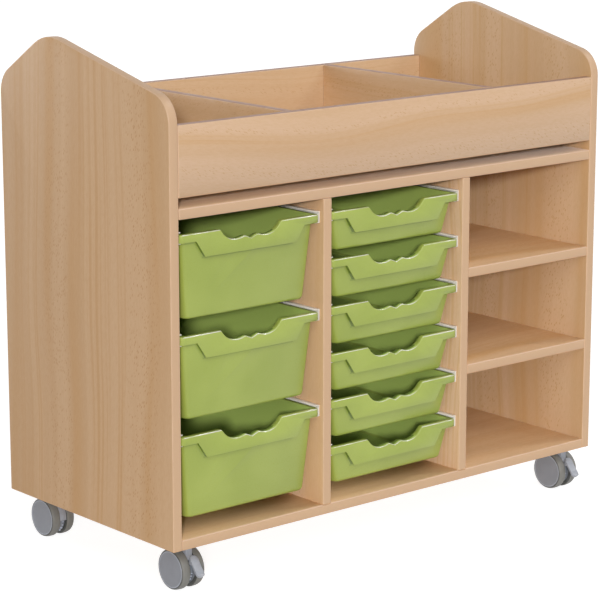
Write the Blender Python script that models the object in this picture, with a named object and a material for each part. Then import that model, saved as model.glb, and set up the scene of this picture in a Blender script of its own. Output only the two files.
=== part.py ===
"""Mobile bin cart: a beech-laminate cabinet on twin-wheel castors, with nine sliding bins.

Metres, +Z up. The floor is z = 0, the front faces -Y, the long side runs along X and the
origin lies on the floor under the middle of the cabinet.
"""
import math

import bmesh
import bpy
from mathutils import Matrix, Vector

# Fits
FIT_GAP = 0.0003
BOOLEAN_OVERRUN = 0.001

# Boards
BOARD = 0.019
BOARD_EDGE_ROUND = 0.0012
BACK_PANEL_THICKNESS = 0.008
BACK_PANEL_SETBACK = 0.006
GROOVE_DEPTH = 0.006
HOUSING_DEPTH = 0.002

# Bins
RIM_WIDTH = 0.312
BIN_LENGTH = 0.427
DEEP_BIN_HEIGHT = 0.1525
SHALLOW_BIN_HEIGHT = 0.075
DEEP_ROWS = 3
SHALLOW_ROWS = 6
RIM_HEIGHT = 0.0143
RIM_CORNER_RADIUS = 0.008
RIM_TOP_ROUND = 0.0015
BIN_WALL = 0.0024
SIDE_OVERHANG = 0.007
FRONT_OVERHANG = 0.0076
BIN_SIDE_TAPER = 0.015
BIN_FRONT_TAPER = 0.0085
BODY_CORNER_RADIUS = 0.010
BIN_BOTTOM_ROUND = 0.006
HANDLE_PLATE_HEIGHT = 0.043
HANDLE_PLATE_TOP_HALF_WIDTH = 0.1205
HANDLE_PLATE_BOTTOM_HALF_WIDTH = 0.1015
FINGER_HALF_WIDTH = 0.069
FINGER_DEPTH = 0.0225
FINGER_SHARES = (
    (0.0, 1.0),
    (0.18, 0.765),
    (0.23, 0.75),
    (0.32, 0.835),
    (0.41, 0.885),
    (0.52, 0.895),
    (0.62, 0.85),
    (0.71, 0.76),
    (0.80, 0.61),
    (0.89, 0.37),
    (0.96, 0.10),
    (1.0, 0.0),
)

# Runners
RUNNER_WIDTH = 0.011
RUNNER_HEIGHT = 0.0215
RUNNER_WALL = 0.002
RUNNER_SETBACK = 0.0105
RUNNER_SHORTFALL = 0.008
RUNNER_DROP = 0.023

# Bin columns
BIN_SIDE_GAP = 0.0055
BIN_SETBACK = 0.0045
BIN_BACK_CLEARANCE = 0.0585
DEEP_ROW_GAP = 0.025
SHALLOW_ROW_GAP = 0.0119
BOTTOM_ROW_CLEARANCE = 0.0266

# Shelf bay
SHELF_BAY_WIDTH = 0.323
LOWER_COMPARTMENT = 0.1855
MIDDLE_COMPARTMENT = 0.168

# Paper slot and trough
SLOT_HEIGHT = 0.018
TROUGH_BOARD_HEIGHT = 0.124
TROUGH_END_WIDTH = 0.2475

# Side panel outline, rises measured from the trough's top edge
FRONT_SHOULDER_RISE = 0.0418
PEAK_RISE = 0.1276
BACK_SHOULDER_RISE = 0.0371
PEAK_PLACE_SHARE = 0.712
FRONT_SHOULDER_RADIUS = 0.053
PEAK_RADIUS = 0.096
BACK_SHOULDER_RADIUS = 0.052

# Castors
UNDERSIDE_HEIGHT = 0.092
WHEEL_RADIUS = 0.0375
WHEEL_WIDTH = 0.0175
WHEEL_SEGMENTS = 32
TREAD_EDGE_ROUND = 0.001
TREAD_SHOULDER_ROUND = 0.0055
AXLE_RADIUS = 0.004
AXLE_REACH = 0.012
HOOD_WIDTH = 0.014
HOOD_SIDE_GAP = 0.0005
HOOD_DROP = 0.002
WEB_WIDTH = 0.012
WEB_DROP = 0.0065
BRAKED_WEB_DROP = 0.0105
BRAKED_WEB_START_ANGLE = math.radians(-60.0)
HOOD_FRONT_ANGLE = math.radians(-4.0)
HOOD_BACK_ANGLE = math.radians(200.0)
BRAKED_HOOD_FRONT_ANGLE = math.radians(36.0)
NECK_RADIUS = 0.012
NECK_HEIGHT = 0.008
STEM_RADIUS = 0.005
CUP_RADIUS = 0.015
CUP_HEIGHT = 0.004
PLATE_SIDE = 0.054
PLATE_THICKNESS = 0.0025
PLATE_CORNER_RADIUS = 0.006
CASTOR_TRAIL = 0.010
LEFT_CASTOR_INSET = 0.064
RIGHT_CASTOR_INSET = 0.029
CASTOR_DEPTH_INSET = 0.0525

# Brake lever, whose sizes run along and off the paddle's outer face
PADDLE_LENGTH = 0.0425
PADDLE_WIDTH = 0.0165
PADDLE_THICKNESS = 0.004
PADDLE_SLOPE = math.radians(38.0)
PADDLE_STANDOFF = 0.007
PADDLE_RISE = 0.003
PADDLE_LIP_RISE = 0.003
PADDLE_LIP_LENGTH = 0.007
RIB_HEIGHT = 0.0006
RIB_WIDTH = 0.0011
RIB_PITCH = 0.0023
RIB_COUNT = 3
RIB_INSET = 0.0075
KNUCKLE_RADIUS = 0.004
KNUCKLE_WIDTH = 0.013
KNUCKLE_PLACE = 0.0105
KNUCKLE_SINK = 0.003
LUG_WIDTH = 0.005
LUG_THICKNESS = 0.005
PIN_RADIUS = 0.0018

# Round stretches
ARC_STEP = math.radians(7.5)
PADDLE_END_STEP = math.radians(18.0)
PLATE_CORNER_STEP = math.radians(30.0)
TREAD_SHOULDER_STEP = math.radians(45.0)
NECK_SEGMENTS = 24
STEM_SEGMENTS = 16
PIN_SEGMENTS = 12
BIN_CORNER_STEPS = 3
SHARP_ANGLE = math.radians(35.0)

# Widths worked out from the bins and boards
BIN_BAY_WIDTH = RIM_WIDTH + 2 * BIN_SIDE_GAP
CART_WIDTH = 4 * BOARD + 2 * BIN_BAY_WIDTH + SHELF_BAY_WIDTH
CART_DEPTH = BIN_SETBACK + BIN_LENGTH + BIN_BACK_CLEARANCE + BACK_PANEL_THICKNESS + BACK_PANEL_SETBACK
LEFT = -CART_WIDTH / 2
RIGHT = CART_WIDTH / 2
FRONT = -CART_DEPTH / 2
BACK = CART_DEPTH / 2
LEFT_DIVIDER = LEFT + BOARD + BIN_BAY_WIDTH
RIGHT_DIVIDER = LEFT_DIVIDER + BOARD + BIN_BAY_WIDTH
DEEP_BAY_CENTRE = LEFT_DIVIDER - BIN_BAY_WIDTH / 2
SHALLOW_BAY_CENTRE = RIGHT_DIVIDER - BIN_BAY_WIDTH / 2

# Runners worked out from the bins
RUNNER_LENGTH = BIN_LENGTH - RUNNER_SHORTFALL

# Heights worked out from the bin columns
RIM_DROP = RUNNER_HEIGHT - RUNNER_WALL - FIT_GAP - RIM_HEIGHT
DEEP_PITCH = DEEP_BIN_HEIGHT + DEEP_ROW_GAP
SHALLOW_PITCH = SHALLOW_BIN_HEIGHT + SHALLOW_ROW_GAP
DEEP_COLUMN = RUNNER_DROP + RIM_DROP + (DEEP_ROWS - 1) * DEEP_PITCH + DEEP_BIN_HEIGHT
SHALLOW_COLUMN = RUNNER_DROP + RIM_DROP + (SHALLOW_ROWS - 1) * SHALLOW_PITCH + SHALLOW_BIN_HEIGHT
BAY_FLOOR = UNDERSIDE_HEIGHT + BOARD
BAY_CEILING = BAY_FLOOR + max(DEEP_COLUMN, SHALLOW_COLUMN) + BOTTOM_ROW_CLEARANCE
DECK_TOP = BAY_CEILING + BOARD
TROUGH_BOTTOM = DECK_TOP + SLOT_HEIGHT
TROUGH_FLOOR = TROUGH_BOTTOM + BOARD
TROUGH_TOP = TROUGH_BOTTOM + TROUGH_BOARD_HEIGHT
TOP_RUNNER = BAY_CEILING - RUNNER_DROP
BACK_PANEL_FRONT = BACK - BACK_PANEL_SETBACK - BACK_PANEL_THICKNESS

# Castor places worked out from the wheel, whose lowest facet lies flat on the floor
AXLE_HEIGHT = WHEEL_RADIUS * math.cos(math.pi / WHEEL_SEGMENTS)
WHEEL_OFFSET = HOOD_WIDTH / 2 + HOOD_SIDE_GAP
HOOD_RADIUS = WHEEL_RADIUS - HOOD_DROP
WEB_RADIUS = WHEEL_RADIUS - WEB_DROP
BRAKED_WEB_RADIUS = WHEEL_RADIUS - BRAKED_WEB_DROP
PLATE_TOP = UNDERSIDE_HEIGHT - FIT_GAP
CUP_BOTTOM = PLATE_TOP - PLATE_THICKNESS - CUP_HEIGHT
NECK_TOP = CUP_BOTTOM - FIT_GAP


def clear_scene():
    for item in list(bpy.data.objects):
        bpy.data.objects.remove(item, do_unlink=True)


def finish(name, colour, roughness, metallic):
    """Material of this name, made when it is first asked for."""
    material = bpy.data.materials.get(name)
    if material is None:
        material = bpy.data.materials.new(name)
        material.use_nodes = True
        material.diffuse_color = (*colour, 1.0)
        shader = material.node_tree.nodes["Principled BSDF"]
        shader.inputs["Base Color"].default_value = (*colour, 1.0)
        shader.inputs["Roughness"].default_value = roughness
        shader.inputs["Metallic"].default_value = metallic
    return material


def beech_laminate():
    return finish("beech_laminate", (0.56, 0.38, 0.23), 0.45, 0.0)


def green_plastic():
    return finish("green_plastic", (0.34, 0.42, 0.10), 0.35, 0.0)


def white_plastic():
    return finish("white_plastic", (0.72, 0.69, 0.66), 0.4, 0.0)


def plated_steel():
    return finish("plated_steel", (0.55, 0.56, 0.58), 0.35, 1.0)


def wheel_plastic():
    return finish("wheel_plastic", (0.23, 0.24, 0.26), 0.5, 0.0)


def hood_plastic():
    return finish("hood_plastic", (0.34, 0.36, 0.40), 0.45, 0.0)


def new_object(name, mesh, material):
    item = bpy.data.objects.new(name, mesh)
    bpy.context.collection.objects.link(item)
    if material is not None:
        item.data.materials.clear()
        item.data.materials.append(material)
    return item


def closed_mesh(name, points, faces):
    """Mesh of the given faces, with its normals turned outwards."""
    work = bmesh.new()
    corners = [work.verts.new(point) for point in points]
    for face in faces:
        work.faces.new([corners[index] for index in face])
    bmesh.ops.recalc_face_normals(work, faces=work.faces)
    mesh = bpy.data.meshes.new(name)
    work.to_mesh(mesh)
    work.free()
    return mesh


def shade_round(mesh):
    mesh.shade_smooth()
    mesh.set_sharp_from_angle(angle=SHARP_ANGLE)


def placed(axis, level, first, second):
    """Point at a level on an axis, its other two places given in X, Y, Z order."""
    if axis == "X":
        return (level, first, second)
    if axis == "Y":
        return (first, level, second)
    return (first, second, level)


def lofted_mesh(name, first, second):
    """Solid between two matching outlines of 3-D points."""
    count = len(first)
    sides = [(i, (i + 1) % count, count + (i + 1) % count, count + i) for i in range(count)]
    caps = [tuple(range(count)), tuple(range(count, 2 * count))]
    return closed_mesh(name, first + second, sides + caps)


def prism_mesh(name, outline, low, high, axis):
    """Outline pushed along an axis from low to high."""
    ends = [[placed(axis, level, *point) for point in outline] for level in (low, high)]
    return lofted_mesh(name, *ends)


def revolved_mesh(name, profile, segments, axis):
    """Profile of (radius, place) turned about X or Z, with a flat facet straight down."""
    points = []
    rings = []
    for radius, place in profile:
        steps = 1 if radius == 0 else segments
        start = len(points)
        for step in range(steps):
            angle = (step + 0.5) * math.tau / segments
            across = radius * math.sin(angle)
            down = -radius * math.cos(angle)
            points.append((place, across, down) if axis == "X" else (across, down, place))
        rings.append([start + step % steps for step in range(segments)])
    faces = []
    for lower, upper in zip(rings, rings[1:]):
        for step in range(segments):
            following = (step + 1) % segments
            corners = (lower[step], lower[following], upper[following], upper[step])
            faces.append(tuple(dict.fromkeys(corners)))
    return closed_mesh(name, points, faces)


def arc_points(centre, radius, start, end, step=ARC_STEP):
    count = max(2, round(abs(end - start) / step))
    angles = [start + (end - start) * index / count for index in range(count + 1)]
    return [(centre[0] + radius * math.cos(a), centre[1] + radius * math.sin(a)) for a in angles]


def rounded_outline(corners, step=ARC_STEP):
    """Outline through (x, y, radius) corners, each turned into an arc of its radius."""
    outline = []
    count = len(corners)
    for index, (x, y, radius) in enumerate(corners):
        here = Vector((x, y))
        if radius == 0:
            outline.append((x, y))
            continue
        before = (Vector(corners[index - 1][:2]) - here).normalized()
        after = (Vector(corners[(index + 1) % count][:2]) - here).normalized()
        half_angle = before.angle(after) / 2
        centre = here + (before + after).normalized() * radius / math.sin(half_angle)
        first = here + before * radius / math.tan(half_angle) - centre
        last = here + after * radius / math.tan(half_angle) - centre
        turn = first.angle_signed(last)
        start = math.atan2(first.y, first.x)
        outline += arc_points(centre, radius, start, start - turn, step)
    return outline


def combined_mesh(name, base, changes):
    """Mesh of the base after each (operation, tool mesh) change in turn."""
    item = new_object(name + "_base", base, None)
    tools = []
    for operation, mesh in changes:
        tool = new_object(name + "_tool", mesh, None)
        tool.hide_render = True
        tool.display_type = "WIRE"
        modifier = item.modifiers.new(operation.title(), "BOOLEAN")
        modifier.operation = operation
        modifier.object = tool
        modifier.solver = "EXACT"
        tools.append(tool)
    graph = bpy.context.evaluated_depsgraph_get()
    mesh = bpy.data.meshes.new_from_object(item.evaluated_get(graph))
    mesh.name = name
    for spent in [item, *tools]:
        bpy.data.objects.remove(spent, do_unlink=True)
    return mesh


def round_edges(item, width):
    bevel = item.modifiers.new("Edge round", "BEVEL")
    bevel.width = width
    bevel.segments = 1
    bevel.limit_method = "ANGLE"
    bevel.angle_limit = math.radians(50.0)


def box_mesh(name, left, right, front, back, bottom, top):
    outline = [(front, bottom), (back, bottom), (back, top), (front, top)]
    return prism_mesh(name, outline, left, right, "X")


def add_board(name, left, right, front, back, bottom, top):
    """Laminated board with lightly rounded edges."""
    item = new_object(name, box_mesh(name, left, right, front, back, bottom, top), beech_laminate())
    round_edges(item, BOARD_EDGE_ROUND)
    return item


def cut_box(item, left, right, front, back, bottom, top):
    """Cut a square-cornered recess into a board whose edges are already rounded."""
    name = item.name + "_cutter"
    cutter = new_object(name, box_mesh(name, left, right, front, back, bottom, top), None)
    cutter.hide_render = True
    cutter.display_type = "WIRE"
    cut = item.modifiers.new("Recess", "BOOLEAN")
    cut.object = cutter
    cut.operation = "DIFFERENCE"
    cut.solver = "EXACT"


def cut_groove(item, left, right, bottom, top):
    """Cut the back panel's groove into a board."""
    cut_box(item, left, right, BACK_PANEL_FRONT - FIT_GAP, BACK - BACK_PANEL_SETBACK + FIT_GAP,
            bottom, top)


def cut_divider_housings(item, dividers, front, back, top):
    """Cut the shallow housings that dividers stand in, each given by its left side."""
    for left in dividers:
        cut_box(item, left - FIT_GAP, left + BOARD + FIT_GAP, front - BOOLEAN_OVERRUN, back,
                top - HOUSING_DEPTH, top + BOOLEAN_OVERRUN)


def side_outline():
    """Side panel seen from the side: straight below, rising to a rounded hump at the back."""
    peak = FRONT + PEAK_PLACE_SHARE * CART_DEPTH
    return rounded_outline([
        (FRONT, UNDERSIDE_HEIGHT, 0),
        (FRONT, TROUGH_TOP + FRONT_SHOULDER_RISE, FRONT_SHOULDER_RADIUS),
        (peak, TROUGH_TOP + PEAK_RISE, PEAK_RADIUS),
        (BACK, TROUGH_TOP + BACK_SHOULDER_RISE, BACK_SHOULDER_RADIUS),
        (BACK, UNDERSIDE_HEIGHT, 0),
    ])


def add_side_panel(name, left, groove_left):
    """Humped side panel with a stopped groove for the back panel, open towards the bays."""
    item = new_object(name, prism_mesh(name, side_outline(), left, left + BOARD, "X"), beech_laminate())
    round_edges(item, BOARD_EDGE_ROUND)
    cut_groove(item, groove_left, groove_left + GROOVE_DEPTH + BOOLEAN_OVERRUN,
               BAY_FLOOR - GROOVE_DEPTH, BAY_CEILING + GROOVE_DEPTH)


def add_cabinet():
    inner_left = LEFT + BOARD + FIT_GAP
    inner_right = RIGHT - BOARD - FIT_GAP
    add_side_panel("side_panel_left", LEFT, LEFT + BOARD - GROOVE_DEPTH)
    add_side_panel("side_panel_right", RIGHT - BOARD, RIGHT - BOARD - BOOLEAN_OVERRUN)
    groove_ends = (LEFT + BOARD - BOOLEAN_OVERRUN, RIGHT - BOARD + BOOLEAN_OVERRUN)
    bottom_panel = add_board("bottom_panel", inner_left, inner_right, FRONT, BACK,
                             UNDERSIDE_HEIGHT, BAY_FLOOR)
    cut_groove(bottom_panel, *groove_ends, BAY_FLOOR - GROOVE_DEPTH, BAY_FLOOR + BOOLEAN_OVERRUN)
    cut_divider_housings(bottom_panel, (LEFT_DIVIDER, RIGHT_DIVIDER), FRONT, BACK_PANEL_FRONT, BAY_FLOOR)
    top_deck = add_board("top_deck", inner_left, inner_right, FRONT, BACK, BAY_CEILING, DECK_TOP)
    cut_groove(top_deck, *groove_ends, BAY_CEILING - BOOLEAN_OVERRUN, BAY_CEILING + GROOVE_DEPTH)
    cut_box(top_deck, *groove_ends, BACK - BOARD - FIT_GAP, BACK + BOOLEAN_OVERRUN,
            DECK_TOP - HOUSING_DEPTH, DECK_TOP + BOOLEAN_OVERRUN)
    reach = GROOVE_DEPTH - FIT_GAP
    back_mesh = box_mesh("back_panel", LEFT + BOARD - reach, RIGHT - BOARD + reach, BACK_PANEL_FRONT,
                         BACK_PANEL_FRONT + BACK_PANEL_THICKNESS, BAY_FLOOR - reach, BAY_CEILING + reach)
    new_object("back_panel", back_mesh, beech_laminate())
    for name, left in (("divider_left", LEFT_DIVIDER), ("divider_right", RIGHT_DIVIDER)):
        add_board(name, left, left + BOARD, FRONT, BACK_PANEL_FRONT - FIT_GAP,
                  BAY_FLOOR - HOUSING_DEPTH + FIT_GAP, BAY_CEILING - FIT_GAP)
    shelf_left = RIGHT_DIVIDER + BOARD + FIT_GAP
    lower_shelf = BAY_FLOOR + LOWER_COMPARTMENT
    upper_shelf = lower_shelf + BOARD + MIDDLE_COMPARTMENT
    for name, bottom in (("shelf_lower", lower_shelf), ("shelf_upper", upper_shelf)):
        add_board(name, shelf_left, inner_right, FRONT, BACK_PANEL_FRONT - FIT_GAP, bottom, bottom + BOARD)
    add_board("trough_front_board", inner_left, inner_right, FRONT, FRONT + BOARD, TROUGH_BOTTOM, TROUGH_TOP)
    add_board("trough_back_board", inner_left, inner_right, BACK - BOARD, BACK,
              DECK_TOP - HOUSING_DEPTH + FIT_GAP, TROUGH_TOP)
    trough_front = FRONT + BOARD + FIT_GAP
    trough_back = BACK - BOARD - FIT_GAP
    trough_floor = add_board("trough_floor", inner_left, inner_right, trough_front, trough_back,
                             TROUGH_BOTTOM, TROUGH_FLOOR)
    left_end = LEFT + BOARD + TROUGH_END_WIDTH
    right_end = RIGHT - BOARD - TROUGH_END_WIDTH - BOARD
    cut_divider_housings(trough_floor, (left_end, right_end), trough_front,
                         trough_back + BOOLEAN_OVERRUN, TROUGH_FLOOR)
    for name, left in (("trough_divider_left", left_end), ("trough_divider_right", right_end)):
        add_board(name, left, left + BOARD, trough_front, trough_back,
                  TROUGH_FLOOR - HOUSING_DEPTH + FIT_GAP, TROUGH_TOP)


def runner_mesh(name, side):
    """Channel open towards the bin; side is -1 on a bay's left wall and 1 on its right wall.

    Its origin is on the wall at the channel's top front corner.
    """
    inner = -side * RUNNER_WIDTH
    web = -side * RUNNER_WALL
    section = [
        (0, 0),
        (inner, 0),
        (inner, -RUNNER_WALL),
        (web, -RUNNER_WALL),
        (web, RUNNER_WALL - RUNNER_HEIGHT),
        (inner, RUNNER_WALL - RUNNER_HEIGHT),
        (inner, -RUNNER_HEIGHT),
        (0, -RUNNER_HEIGHT),
    ]
    return prism_mesh(name, section, 0, RUNNER_LENGTH, "Y")


def add_runner_pairs(prefix, bay_centre, rows, pitch, left_mesh, right_mesh):
    for row in range(rows):
        height = TOP_RUNNER - row * pitch
        for side, word, mesh in ((-1, "left", left_mesh), (1, "right", right_mesh)):
            name = f"{prefix}_runner_{row + 1}_{word}"
            runner = new_object(name, mesh.copy(), white_plastic())
            wall = bay_centre + side * (BIN_BAY_WIDTH / 2 - FIT_GAP)
            runner.location = (wall, FRONT + RUNNER_SETBACK, height)


def front_places():
    """Places along half the bin's front, each with its finger cut and its lower edge."""
    places = []
    for width_share, depth_share in FINGER_SHARES:
        places.append((width_share * FINGER_HALF_WIDTH, depth_share * FINGER_DEPTH, HANDLE_PLATE_HEIGHT))
    places += [
        (HANDLE_PLATE_BOTTOM_HALF_WIDTH, 0, HANDLE_PLATE_HEIGHT),
        (HANDLE_PLATE_TOP_HALF_WIDTH, 0, RIM_HEIGHT),
        (RIM_WIDTH / 2 - RIM_CORNER_RADIUS, 0, RIM_HEIGHT),
    ]
    return places


def corner_arcs(half_width, front, back, radius):
    """Points of the front right, back right, back left and front left corners in turn."""
    arcs = []
    centres = (
        (half_width - radius, front + radius, -math.pi / 2),
        (half_width - radius, back - radius, 0),
        (radius - half_width, back - radius, math.pi / 2),
        (radius - half_width, front + radius, math.pi),
    )
    for x, y, start in centres:
        arcs.append(arc_points((x, y), radius, start, start + math.pi / 2, math.pi / 2 / BIN_CORNER_STEPS))
    return arcs


def full_ring(side_inset, front_inset, radius, side_height, height_at, front_slope=0.0):
    """Closed ring round a bin with every place of the front profile on its front side.

    height_at gives a front place's height from its (finger cut, lower edge), and front_slope
    leans the front side back with depth.
    """
    half_width = RIM_WIDTH / 2 - side_inset
    arcs = corner_arcs(half_width, front_inset, BIN_LENGTH - side_inset, radius)
    places = front_places()
    fixed = HANDLE_PLATE_TOP_HALF_WIDTH
    outer = places[-1][0]
    stretch = (half_width - radius - fixed) / (outer - fixed)
    right_side = []
    for x, cut, lower in places:
        height = height_at(cut, lower)
        place = x if x <= fixed else fixed + (x - fixed) * stretch
        right_side.append((place, front_inset - height * front_slope, height))
    left_side = [(-x, y, z) for x, y, z in reversed(right_side[1:])]
    around = [(x, y, side_height) for x, y in arcs[0][1:] + arcs[1] + arcs[2] + arcs[3][:-1]]
    return left_side + right_side + around


def plain_ring(side_inset, front_inset, radius, height):
    """Ring of the four corners only, in the order of the full ring, front left corner first."""
    half_width = RIM_WIDTH / 2 - side_inset
    arcs = corner_arcs(half_width, front_inset, BIN_LENGTH - side_inset, radius)
    ordered = [arcs[3][-1]] + arcs[0] + arcs[1] + arcs[2] + arcs[3][:-1]
    return [(x, y, height) for x, y in ordered]


def ring_faces(first, second):
    count = len(first)
    return [(first[i], first[(i + 1) % count], second[(i + 1) % count], second[i]) for i in range(count)]


def wall_faces(full, plain, front_count):
    """Walls from a full ring to a plain ring; the front wall is one many-sided face."""
    faces = [tuple(full[:front_count]) + (plain[1], plain[0])]
    upper = full[front_count - 1:] + full[:1]
    lower = plain[1:] + plain[:1]
    for index in range(len(upper) - 1):
        faces.append((upper[index], upper[index + 1], lower[index + 1], lower[index]))
    return faces


def bin_mesh(name, depth):
    """Moulded bin: tapered tub, flanged rim with a hanging lip, handle plate and finger cut-out.

    Its origin is on the rim's top, in the middle of the rim's front edge.
    """
    wall_drop = depth - BIN_BOTTOM_ROUND
    front_slope = BIN_FRONT_TAPER / wall_drop
    body_inset = SIDE_OVERHANG
    body_front = FRONT_OVERHANG
    inner_inset = body_inset + BIN_WALL
    inner_front = body_front + BIN_WALL
    inner_radius = BODY_CORNER_RADIUS - BIN_WALL
    lip_radius = RIM_CORNER_RADIUS - BIN_WALL
    floor_inset = body_inset + BIN_SIDE_TAPER
    floor_front = body_front + BIN_FRONT_TAPER
    small = BIN_BOTTOM_ROUND * (1 - math.sqrt(0.5))
    inner_round = BIN_BOTTOM_ROUND - BIN_WALL
    full_rings = [
        full_ring(inner_inset, inner_front, inner_radius, 0, lambda cut, lower: -cut, front_slope),
        full_ring(RIM_TOP_ROUND, RIM_TOP_ROUND, RIM_CORNER_RADIUS - RIM_TOP_ROUND, 0,
                  lambda cut, lower: -cut),
        full_ring(0, 0, RIM_CORNER_RADIUS, -RIM_TOP_ROUND, lambda cut, lower: -cut - RIM_TOP_ROUND),
        full_ring(0, 0, RIM_CORNER_RADIUS, -RIM_HEIGHT, lambda cut, lower: -lower),
        full_ring(BIN_WALL, BIN_WALL, lip_radius, -RIM_HEIGHT, lambda cut, lower: -lower),
        full_ring(BIN_WALL, BIN_WALL, lip_radius, -BIN_WALL, lambda cut, lower: -cut - BIN_WALL),
        full_ring(body_inset, body_front, BODY_CORNER_RADIUS, -BIN_WALL,
                  lambda cut, lower: -cut - BIN_WALL, front_slope),
    ]
    outer_rings = [
        plain_ring(floor_inset, floor_front, BODY_CORNER_RADIUS, -wall_drop),
        plain_ring(floor_inset + small, floor_front + small, BODY_CORNER_RADIUS, small - depth),
        plain_ring(floor_inset + BIN_BOTTOM_ROUND, floor_front + BIN_BOTTOM_ROUND,
                   BODY_CORNER_RADIUS - BIN_BOTTOM_ROUND / 2, -depth),
    ]
    inner_rings = [
        plain_ring(floor_inset + BIN_WALL, floor_front + BIN_WALL, inner_radius, -wall_drop),
        plain_ring(floor_inset + BIN_WALL + inner_round, floor_front + BIN_WALL + inner_round,
                   inner_radius - inner_round / 2, BIN_WALL - depth),
    ]
    points = []
    indices = []
    for ring in full_rings + outer_rings + inner_rings:
        indices.append(list(range(len(points), len(points) + len(ring))))
        points += ring
    full = indices[:len(full_rings)]
    outer = indices[len(full_rings):len(full_rings) + len(outer_rings)]
    inner = indices[len(full_rings) + len(outer_rings):]
    front_count = 2 * len(front_places()) - 1
    faces = []
    for chain in (full, outer, inner):
        for first, second in zip(chain, chain[1:]):
            faces += ring_faces(first, second)
    faces += wall_faces(full[-1], outer[0], front_count)
    faces += wall_faces(full[0], inner[0], front_count)
    faces += [tuple(outer[-1]), tuple(inner[-1])]
    mesh = closed_mesh(name, points, faces)
    shade_round(mesh)
    return mesh


def add_bins(prefix, bay_centre, rows, pitch, mesh):
    for row in range(rows):
        name = f"{prefix}_bin_{row + 1}"
        item = new_object(name, mesh.copy(), green_plastic())
        item.location = (bay_centre, FRONT + BIN_SETBACK, TOP_RUNNER - row * pitch - RIM_DROP)


def wheel_mesh(name):
    """Wheel turned about X: blind bore on the hood's side, rounded tread, flat outer disc.

    Its origin is on the axle's line at the wheel's inner face, and it reaches towards +X.
    """
    bore = AXLE_RADIUS + FIT_GAP
    bore_end = AXLE_REACH + FIT_GAP
    rounding = TREAD_SHOULDER_ROUND
    centre = (WHEEL_RADIUS - rounding, WHEEL_WIDTH - rounding)
    shoulder = arc_points(centre, rounding, 0, math.pi / 2, TREAD_SHOULDER_STEP)
    profile = [
        (0, bore_end),
        (bore, bore_end),
        (bore, 0),
        (WHEEL_RADIUS - TREAD_EDGE_ROUND, 0),
        (WHEEL_RADIUS, TREAD_EDGE_ROUND),
        *shoulder,
        (0, WHEEL_WIDTH),
    ]
    mesh = revolved_mesh(name, profile, WHEEL_SEGMENTS, "X")
    shade_round(mesh)
    return mesh


def paddle_frame():
    """Top end of the paddle's outer face, and unit vectors down it and off it.

    Places are (forward, up) from the axle, and the paddle stands clear of the treads.
    """
    down = Vector((math.sin(PADDLE_SLOPE), -math.cos(PADDLE_SLOPE)))
    off = Vector((math.cos(PADDLE_SLOPE), math.sin(PADDLE_SLOPE)))
    return off * (WHEEL_RADIUS + PADDLE_STANDOFF) - down * PADDLE_RISE, down, off


def lever_pivot():
    """Hinge pin's centre as (forward, up) from the axle."""
    top, down, off = paddle_frame()
    return top + down * KNUCKLE_PLACE - off * (PADDLE_THICKNESS + KNUCKLE_SINK)


def side_view(places):
    """Turn (forward, up) places from the axle into (y, z) places of the castor."""
    return [(CASTOR_TRAIL - forward, AXLE_HEIGHT + up) for forward, up in places]


def pin_along_x(name, centre, radius, half_length, segments):
    profile = [(0, -half_length), (radius, -half_length), (radius, half_length), (0, half_length)]
    mesh = revolved_mesh(name, profile, segments, "X")
    mesh.transform(Matrix.Translation((0, *centre)))
    return mesh


def post_along_z(name, radius, bottom, top, segments):
    return revolved_mesh(name, [(0, bottom), (radius, bottom), (radius, top), (0, top)], segments, "Z")


def web_outline(braked):
    """Disc between the wheels, smaller at the front where the brake lever swings."""
    if not braked:
        return arc_points((0, 0), WEB_RADIUS, 0, math.tau)[:-1]
    start = BRAKED_WEB_START_ANGLE
    small = arc_points((0, 0), BRAKED_WEB_RADIUS, start, BRAKED_HOOD_FRONT_ANGLE)
    return small + arc_points((0, 0), WEB_RADIUS, BRAKED_HOOD_FRONT_ANGLE, start + math.tau)


def housing_mesh(name, braked):
    """Hood between the wheels with its web, axle, neck and swivel stem.

    Its origin is on the floor under the swivel axis, and it looks towards -Y.
    """
    half_width = HOOD_WIDTH / 2
    front_angle = BRAKED_HOOD_FRONT_ANGLE if braked else HOOD_FRONT_ANGLE
    hood = arc_points((0, 0), HOOD_RADIUS, front_angle, HOOD_BACK_ANGLE)
    neck_bottom = NECK_TOP - NECK_HEIGHT
    block_top = neck_bottom + BOOLEAN_OVERRUN
    web = prism_mesh(name + "_web", side_view(web_outline(braked)), -WEB_WIDTH / 2, WEB_WIDTH / 2, "X")
    block = box_mesh(name + "_block", -half_width, half_width, -NECK_RADIUS, NECK_RADIUS,
                     AXLE_HEIGHT, block_top)
    neck = post_along_z(name + "_neck", NECK_RADIUS, neck_bottom, NECK_TOP, NECK_SEGMENTS)
    stem = post_along_z(name + "_stem", STEM_RADIUS, NECK_TOP - BOOLEAN_OVERRUN, PLATE_TOP - FIT_GAP,
                        STEM_SEGMENTS)
    axle = pin_along_x(name + "_axle", (CASTOR_TRAIL, AXLE_HEIGHT), AXLE_RADIUS,
                       WHEEL_OFFSET + AXLE_REACH, STEM_SEGMENTS)
    changes = [("UNION", mesh) for mesh in (web, block, neck, stem, axle)]
    if braked:
        changes += [("UNION", mesh) for mesh in (lug_mesh(name + "_lug"), pin_mesh(name + "_pin"))]
    hood_mesh = prism_mesh(name + "_hood", side_view(hood), -half_width, half_width, "X")
    mesh = combined_mesh(name, hood_mesh, changes)
    shade_round(mesh)
    return mesh


def lug_mesh(name):
    """Bar from the web to the brake lever's hinge pin."""
    pivot = lever_pivot()
    inward = -pivot.normalized()
    root = inward * (pivot.length - BRAKED_WEB_RADIUS / 2) + pivot
    across = Vector((-inward.y, inward.x)) * LUG_THICKNESS / 2
    outline = [pivot + across, root + across, root - across, pivot - across]
    return prism_mesh(name, side_view(outline), -LUG_WIDTH / 2, LUG_WIDTH / 2, "X")


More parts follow.
